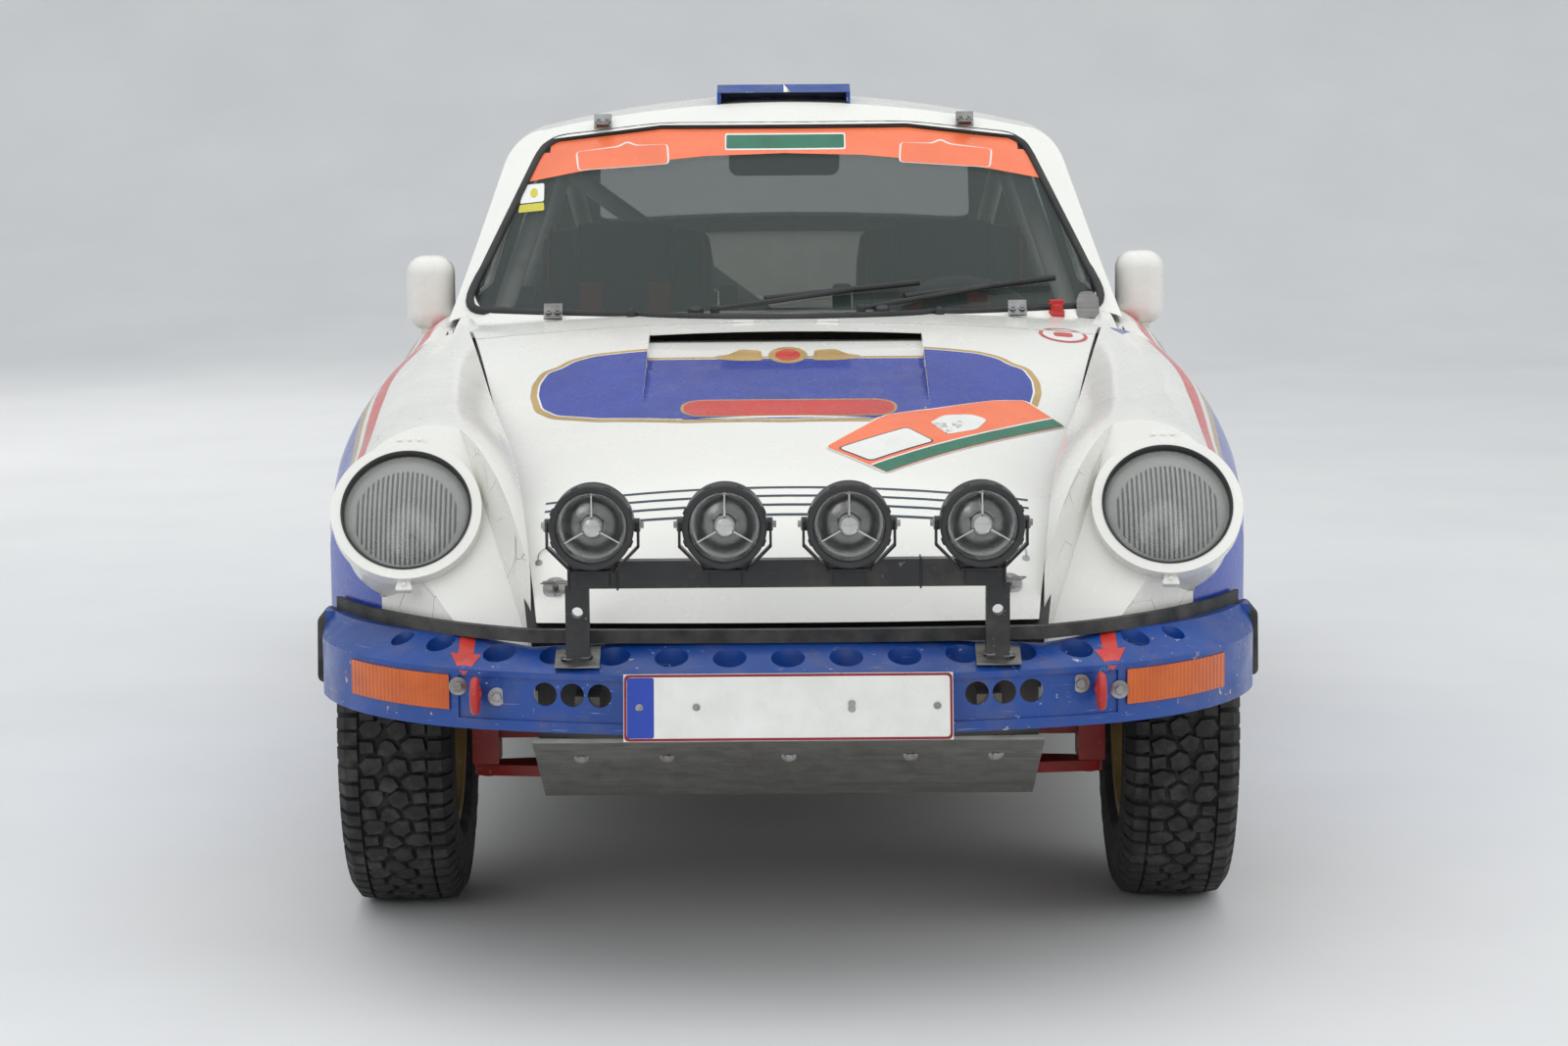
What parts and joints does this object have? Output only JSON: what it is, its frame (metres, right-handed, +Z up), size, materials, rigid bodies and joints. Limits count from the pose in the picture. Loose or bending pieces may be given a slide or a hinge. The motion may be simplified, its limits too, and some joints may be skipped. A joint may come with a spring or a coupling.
{
  "type": "rear-engined rally coupe car",
  "caption": "Two-door rear-engined 2+2 rally coupe with raised suspension, round headlamps, auxiliary lamp bar, drilled bumper, skid plate, roll cage, opening doors and lids.",
  "frame": {"origin": "on the ground, under the middle of the whole car", "axes": "+Z up, nose towards -Y, the car's left side towards +X"},
  "size_m": [1.6504, 4.291, 1.4549],
  "materials": {
    "body_white": "worn gloss",
    "body_blue": "gloss, chipped",
    "black_paint": "satin",
    "cage_white": "gloss",
    "underside": "matt",
    "red_paint": "gloss",
    "plate_white": "gloss",
    "bare_aluminium": "brushed",
    "wheel_gold": "painted",
    "steel": "dull",
    "iron": "rough",
    "tyre_rubber": "dusty",
    "black_rubber": "worn",
    "black_plastic": "matt",
    "trim_black": "grained",
    "clear_glass": "clear",
    "lamp_glass": "ribbed",
    "amber": "clear",
    "red_lens": "clear",
    "seat_cloth": "woven"
  },
  "bodies": {
    "chassis": {"floor_pan": "underside", "sills": "underside", "luggage_bay": "underside", "strut_towers": "underside", "rear_bulkhead": "underside", "rear_rails": "underside", "front_fender_left": "body_white", "front_fender_right": "body_white", "cowl": "body_white", "roof": "body_white", "rear_quarter_left": "body_white", "rear_quarter_right": "body_white", "windscreen": "clear_glass", "rear_window": "clear_glass", "quarter_windows": "clear_glass", "front_bumper": "body_blue", "bumper_strip": "black_rubber", "indicators": "amber", "nose_panel": "underside", "number_plate": "plate_white", "tow_loops": "red_paint", "skid_plate": "bare_aluminium", "headlamps": "body_white", "headlamp_lenses": "lamp_glass", "auxiliary_lamps": "black_plastic", "lamp_bar": "black_paint", "lamp_feet": "bare_aluminium", "rear_bumper": "body_blue", "tail_lamps": "red_lens", "roof_scoop": "body_white", "wipers": "black_paint", "seats": "seat_cloth", "roll_cage": "cage_white", "dashboard": "trim_black", "inside_mirror": "black_plastic", "engine_block": "bare_aluminium", "muffler": "steel", "front_arms": "iron", "rear_axle": "iron"},
    "door_left": {"door_left": "body_white", "door_glass_left": "clear_glass", "door_mirror_left": "body_white"},
    "door_right": {"door_right": "body_white", "door_glass_right": "clear_glass", "door_mirror_right": "body_white"},
    "hood": {"hood": "body_white"},
    "engine_lid": {"engine_lid": "body_white"},
    "steering_wheel": {"steering_wheel": "trim_black"},
    "knuckle_left": {"knuckle_left": "iron"},
    "knuckle_right": {"knuckle_right": "iron"},
    "wheel_front_left": {"wheel_front_left": "wheel_gold", "tyre_front_left": "tyre_rubber"},
    "wheel_front_right": {"wheel_front_right": "wheel_gold", "tyre_front_right": "tyre_rubber"},
    "wheel_rear_left": {"wheel_rear_left": "wheel_gold", "tyre_rear_left": "tyre_rubber"},
    "wheel_rear_right": {"wheel_rear_right": "wheel_gold", "tyre_rear_right": "tyre_rubber"}
  },
  "joints": [
    {"name": "door_left_hinge", "type": "hinge", "parent": "chassis", "child": "door_left", "pos_m": [0.812, -0.7835, 0.7], "axis": [0, 0, -1], "range_deg": [0, 65]},
    {"name": "door_right_hinge", "type": "hinge", "parent": "chassis", "child": "door_right", "pos_m": [-0.812, -0.7835, 0.7], "axis": [0, 0, 1], "range_deg": [0, 65]},
    {"name": "hood_hinge", "type": "hinge", "parent": "chassis", "child": "hood", "pos_m": [0, -0.8895, 1.0235], "axis": [-1, 0, 0], "range_deg": [0, 60]},
    {"name": "engine_lid_hinge", "type": "hinge", "parent": "chassis", "child": "engine_lid", "pos_m": [0, 1.2785, 1.0795], "axis": [1, 0, 0], "range_deg": [0, 60]},
    {"name": "steer_left", "type": "hinge", "parent": "chassis", "child": "knuckle_left", "pos_m": [0.55, -1.2205, 0.335], "axis": [0, 0, 1], "range_deg": [-26, 26]},
    {"name": "steer_right", "type": "hinge", "parent": "chassis", "child": "knuckle_right", "pos_m": [-0.55, -1.2205, 0.335], "axis": [0, 0, 1], "range_deg": [-26, 26]},
    {"name": "steering_wheel_turn", "type": "hinge", "parent": "chassis", "child": "steering_wheel", "pos_m": [0.35, -0.3905, 0.9], "axis": [0, 0.9272, 0.3746], "range_deg": [-450, 450]},
    {"name": "wheel_front_left_spin", "type": "hinge", "parent": "knuckle_left", "child": "wheel_front_left", "pos_m": [0.69, -1.2205, 0.335], "axis": [1, 0, 0], "continuous": true},
    {"name": "wheel_front_right_spin", "type": "hinge", "parent": "knuckle_right", "child": "wheel_front_right", "pos_m": [-0.69, -1.2205, 0.335], "axis": [1, 0, 0], "continuous": true},
    {"name": "wheel_rear_left_spin", "type": "hinge", "parent": "chassis", "child": "wheel_rear_left", "pos_m": [0.69, 1.0515, 0.335], "axis": [1, 0, 0], "continuous": true},
    {"name": "wheel_rear_right_spin", "type": "hinge", "parent": "chassis", "child": "wheel_rear_right", "pos_m": [-0.69, 1.0515, 0.335], "axis": [1, 0, 0], "continuous": true}
  ],
  "couplings": [
    {"joint": "steer_right", "follows": "steer_left", "ratio": 1},
    {"joint": "steering_wheel_turn", "follows": "steer_left", "ratio": 17}
  ]
}
